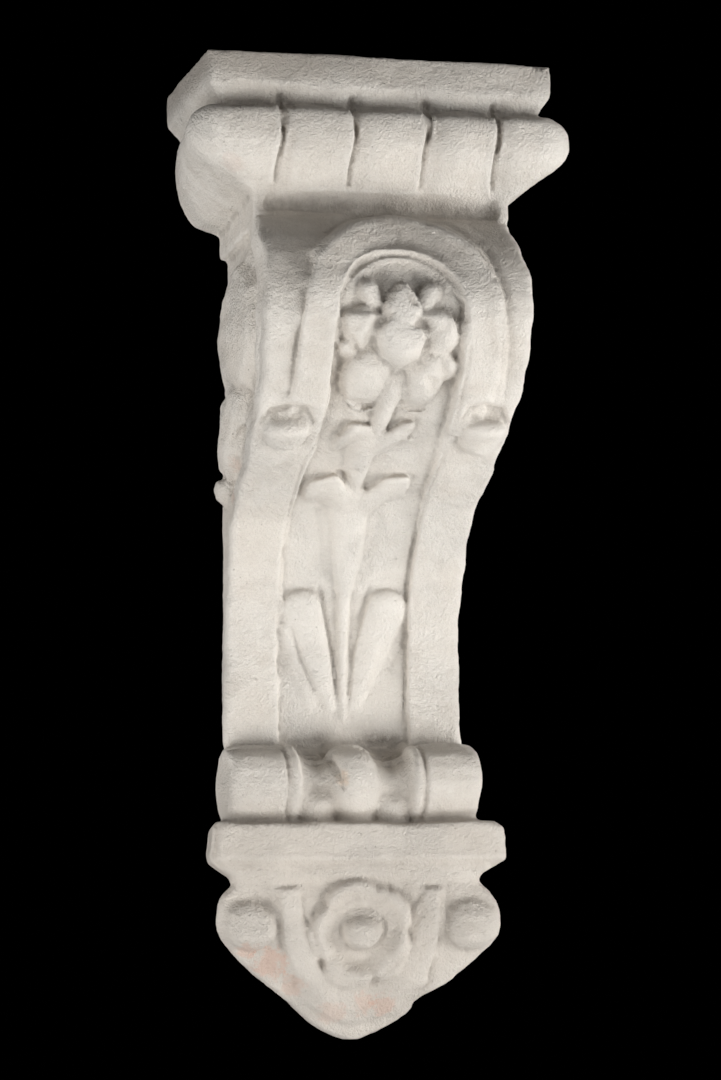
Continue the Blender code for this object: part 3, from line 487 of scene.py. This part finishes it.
# Dust, painted shade and wear follow how hollow the skin is, and painted shade and dust how far it
# faces up
for name, values in (("hollow", np.clip(hollows(12) / HOLLOW_FULL, -1, 1)),
                     ("upward", np.clip(cast_points("normal")[:, 2], 0, 1))):
    cast.data.attributes.new(name, "FLOAT", "POINT").data.foreach_set(
        "value", values.astype(np.float32))


class Wire:
    """A socket in the plaster's nodes; sums on it add Math nodes."""
    tree = None

    def __init__(self, socket):
        self.socket = socket

    @classmethod
    def node(cls, kind, settings, sockets, out=0):
        """Any other node, as the wire from one of its outputs."""
        made = cls.tree.nodes.new(kind)
        for key, value in settings.items():
            setattr(made, key, value)
        for key, value in sockets.items():
            if isinstance(value, Wire):
                cls.tree.links.new(value.socket, made.inputs[key])
            else:
                made.inputs[key].default_value = value
        return cls(made.outputs[out])

    def sum(self, operation, one, two):
        return Wire.node("ShaderNodeMath", {"operation": operation}, {0: one, 1: two})

    def __add__(self, other):
        return self.sum("ADD", self, other)

    def __radd__(self, other):
        return self.sum("ADD", other, self)

    def __sub__(self, other):
        return self.sum("SUBTRACT", self, other)

    def __rsub__(self, other):
        return self.sum("SUBTRACT", other, self)

    def __mul__(self, other):
        return self.sum("MULTIPLY", self, other)

    def __rmul__(self, other):
        return self.sum("MULTIPLY", other, self)

    def between(self, low, high):
        """0 below low, 1 above high and smooth from one to the other."""
        return Wire.node("ShaderNodeMapRange", {"interpolation_type": "SMOOTHSTEP"},
                         {"Value": self, "From Min": low, "From Max": high})

    def mix(self, start, end):
        """From one colour to another by this share."""
        return Wire.node("ShaderNodeMix", {"data_type": "RGBA"}, {0: self, 6: start, 7: end}, 2)


# The plaster: cream gypsum, brushed and stippled while soft, with pinholes from air bubbles,
# dust and painted shade in the hollows, painted shade on upward faces and on the slab, painted
# light on the panel's lower part, paler worn edges and a few faint red and orange stains.
PLASTER_CREAM = (0.745, 0.687, 0.612, 1)
PLASTER_PALE = (0.83, 0.785, 0.72, 1)
PLASTER_WARM = (0.67, 0.60, 0.525, 1)
# The dust colour, also used as painted shade
PLASTER_DUST_AND_SHADE = (0.38, 0.34, 0.295, 1)
PLASTER_ROSE = (0.66, 0.46, 0.37, 1)
PLASTER_ORANGE = (0.72, 0.53, 0.37, 1)

plaster = bpy.data.materials.new("cast plaster")
plaster.use_nodes = True
Wire.tree = plaster.node_tree
shader = plaster.node_tree.nodes["Principled BSDF"]

where = Wire.node("ShaderNodeTexCoord", {}, {}, 3)
beside = Wire.node("ShaderNodeSeparateXYZ", {}, {0: where}, 0)
height = Wire.node("ShaderNodeSeparateXYZ", {}, {0: where}, 2)
sunk = Wire.node("ShaderNodeAttribute", {"attribute_name": "hollow"}, {}, 2)
upward = Wire.node("ShaderNodeAttribute", {"attribute_name": "upward"}, {}, 2)


def noise(scale, detail=3, rough=0.55, vector=where):
    return Wire.node("ShaderNodeTexNoise", {},
                     {"Vector": vector, "Scale": scale, "Detail": detail, "Roughness": rough})


def stain(x, reach, z, size, ragged=1.0):
    """A patch round a point, in millimetres, with a ragged edge."""
    gap = Wire.node("ShaderNodeVectorMath", {"operation": "DISTANCE"},
                    {0: where, 1: (x / 1000, -reach / 1000, z / 1000)}, 1)
    edge = gap * (1000 / size) + (noise(160, 4, 0.7) - 0.5) * (2 * ragged)
    return 1 - edge.between(0.45, 1.0)


# Colour: mottled cream, dust and painted shade in the hollows but less in the panel's lower part,
# which gets painted light instead, painted shade and some dust on upward faces, painted shade on
# the slab, and warmer and darker from the roll down
cloudy = noise(14, 4, 0.6).between(0.35, 0.68)
blotchy = noise(70, 4, 0.65).between(0.42, 0.72)
speck = noise(900, 2, 0.6).between(0.3, 0.75)
gritty = noise(1300, 3, 0.75).between(0.46, 0.64)
colour = cloudy.mix(PLASTER_CREAM, PLASTER_PALE)
colour = (blotchy * 0.45).mix(colour, PLASTER_WARM)
colour = (speck * 0.22).mix(colour, PLASTER_PALE)
colour = (gritty * 0.22).mix(colour, PLASTER_DUST_AND_SHADE)
worn = (sunk * -1).between(0.1, 0.7)
colour = (worn * 0.45).mix(colour, PLASTER_PALE)
# Dust and painted shade in the hollows
hollow_dust_and_shade = sunk.between(0.15, 0.95) * (noise(220, 3, 0.6).between(0.3, 0.7) * 0.5 + 0.5)
# The panel's lower part: less dust and painted shade, and painted light that makes it paler
less_dust_and_painted_light = (1 - height.between(0.03, 0.08)) * height.between(-0.097, -0.085)
less_dust_and_painted_light = less_dust_and_painted_light * (1 - (beside * beside).between(0.00098, 0.00124))  # from 31 to 35 mm, squared
colour = (hollow_dust_and_shade * 0.75 * (1 - less_dust_and_painted_light * 0.4)).mix(colour, PLASTER_DUST_AND_SHADE)
colour = (less_dust_and_painted_light * 0.4).mix(colour, PLASTER_PALE)
# Painted shade on upward faces, which the low lamps leave dark, with some settled dust
top_dust_and_shade = upward.between(0.12, 0.8) * (noise(120, 3, 0.6).between(0.25, 0.7) * 0.5 + 0.5)
colour = (top_dust_and_shade * 0.4).mix(colour, PLASTER_DUST_AND_SHADE)
# Warmer and darker from the roll down
below_roll = 1 - height.between(-0.16, -0.085)
colour = (below_roll * 0.4).mix(colour, PLASTER_WARM)
colour = (below_roll * 0.24).mix(colour, PLASTER_DUST_AND_SHADE)
# Painted shade on the abacus face above its bevel, strongest at its left end
painted_slab_shade = height.between(0.233, 0.247) * (1 - beside.between(-0.07, 0.09) * 0.7)
colour = (painted_slab_shade * 0.72).mix(colour, PLASTER_DUST_AND_SHADE)

rosy = stain(-59.8, 38, -203.5, 9) * 0.7 + stain(-46.6, 35, -213, 12) * 0.8
rosy = rosy + stain(-34, 32, -223, 9) * 0.6 + stain(4.5, 29, -233, 9) * 0.6
rosy = rosy + stain(16.5, 29, -234.6, 9) * 0.7 + stain(-12, 27, -239.4, 10) * 0.5
rosy = rosy + stain(-80.2, 110, 191.6, 8, 0.8) * 0.35
rosy = rosy + stain(-63, 37, 46, 8) * 0.5 + stain(-63, 36, 32, 8) * 0.5
colour = rosy.between(0, 1.3).mix(colour, PLASTER_ROSE)
colour = (stain(-9.2, 42, -115.2, 6) * 0.45).mix(colour, PLASTER_ORANGE)

# Broken plaster on the boss and on the tip of the top petal
broken = stain(4.5, 150, 104, 7, 0.7) * 0.8 + stain(5, 145, 118.5, 5, 0.7)
crumbly = noise(300, 4, 0.7).between(0.3, 0.6) * 0.6 + 0.4
colour = (broken.between(0, 1.3) * crumbly * 0.7).mix(colour, PLASTER_DUST_AND_SHADE)

# Pinholes left by air bubbles
cells = Wire.node("ShaderNodeTexVoronoi", {"feature": "F1"},
                  {"Vector": where, "Scale": 260, "Randomness": 1}, 0)
chosen = Wire.node("ShaderNodeTexVoronoi", {"feature": "F1"},
                   {"Vector": where, "Scale": 260, "Randomness": 1}, 1)
picked = Wire.node("ShaderNodeSeparateXYZ", {}, {0: chosen}, 0)
pinhole = (1 - cells.between(0.05, 0.11)) * picked.between(0.94, 0.945)
colour = (pinhole * 0.5).mix(colour, PLASTER_DUST_AND_SHADE)

# The brushed and stippled skin, in patches and strongest on the slab and the torus
bent = Wire.node("ShaderNodeVectorMath", {"operation": "MULTIPLY_ADD"},
                 {0: Wire.node("ShaderNodeTexNoise", {},
                               {"Vector": where, "Scale": 90.0, "Detail": 2.0}, 1),
                  1: (0.008, 0.008, 0.008), 2: where})
crinkle = noise(420, 4, 0.62, bent)
brushed = noise(1, 3, 0.6, Wire.node("ShaderNodeMapping", {}, {
    "Vector": bent, "Scale": (600, 600, 330), "Rotation": (0, 0.5, 0)}))
grain = noise(820, 3, 0.7)
high_up = height.between(0.20, 0.235)
patches = noise(26, 3, 0.55).between(0.4, 0.66)
rough_part = high_up * 0.9 + patches * 0.5 + 0.7
relief = (crinkle * 0.9 + brushed * 0.25 + grain * 0.9) * rough_part - pinhole * 0.8

bump = Wire.node("ShaderNodeBump", {}, {"Height": relief, "Strength": 1.0, "Distance": 0.0016})
roughness = 0.86 + (speck - 0.5) * 0.1
Wire.tree.links.new(colour.socket, shader.inputs["Base Color"])
Wire.tree.links.new(roughness.socket, shader.inputs["Roughness"])
Wire.tree.links.new(bump.socket, shader.inputs["Normal"])
shader.inputs["Specular IOR Level"].default_value = 0.25

cast.data.materials.clear()
cast.data.materials.append(plaster)
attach(cast, "root")
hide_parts("console_bracket")


# The light: soft boxes low down and level on either side, as the photograph shows, so that the
# undersides are the brightest faces and the tops of the mouldings fall dark, with a weak light
# from above, one from the front on the right and one for the back.
LIT_POINT = Vector((0, -0.08, 0.06))


def lamp(name, spot, power, size):
    light = bpy.data.lights.new(name, "AREA")
    light.energy = power
    light.size = size
    light.spread = math.pi
    thing = bpy.data.objects.new(name, light)
    thing.location = spot
    thing.rotation_euler = (LIT_POINT - Vector(spot)).to_track_quat("-Z", "Y").to_euler()
    thing.visible_camera = False
    bpy.context.scene.collection.objects.link(thing)


lamp("left low box", (-1.1, -1.0, -0.8), 15.9, 0.8)
lamp("right low box", (1.0, -1.1, -0.75), 15.9, 0.8)
lamp("left side box", (-1.6, -0.3, -0.2), 10.8, 0.8)
lamp("right side box", (1.5, -0.5, -0.2), 13.9, 0.8)
lamp("high fill", (0.9, -1.0, 0.7), 2.8, 0.8)
lamp("front right box", (0.9, -1.7, 0.1), 4.2, 0.8)
lamp("back fill", (0.6, 1.8, 1.0), 5, 1.6)

world = bpy.data.worlds.new("studio dark")
world.use_nodes = True
world.node_tree.nodes["Background"].inputs["Color"].default_value = (0, 0, 0, 1)
bpy.context.scene.world = world
bpy.context.scene.view_settings.view_transform = "Standard"

# The camera, low and to the left, as the photograph was taken.
yaw, pitch, roll = (math.radians(angle) for angle in (14.74, 6.41, -0.68))
look = Vector((math.sin(yaw) * math.cos(pitch), math.cos(yaw) * math.cos(pitch), math.sin(pitch)))
level = Vector((math.cos(yaw), -math.sin(yaw), 0))
upright = level.cross(look)
camera_x = math.cos(roll) * level + math.sin(roll) * upright
camera_y = math.cos(roll) * upright - math.sin(roll) * level
camera = bpy.data.objects.new("camera", bpy.data.cameras.new("camera"))
camera.data.sensor_width = 36
camera.data.lens = 113.33
camera.matrix_world = Matrix((camera_x, camera_y, -look)).transposed().to_4x4()
camera.location = (-0.4491, -1.7593, -0.1907)
bpy.context.scene.collection.objects.link(camera)
bpy.context.scene.camera = camera
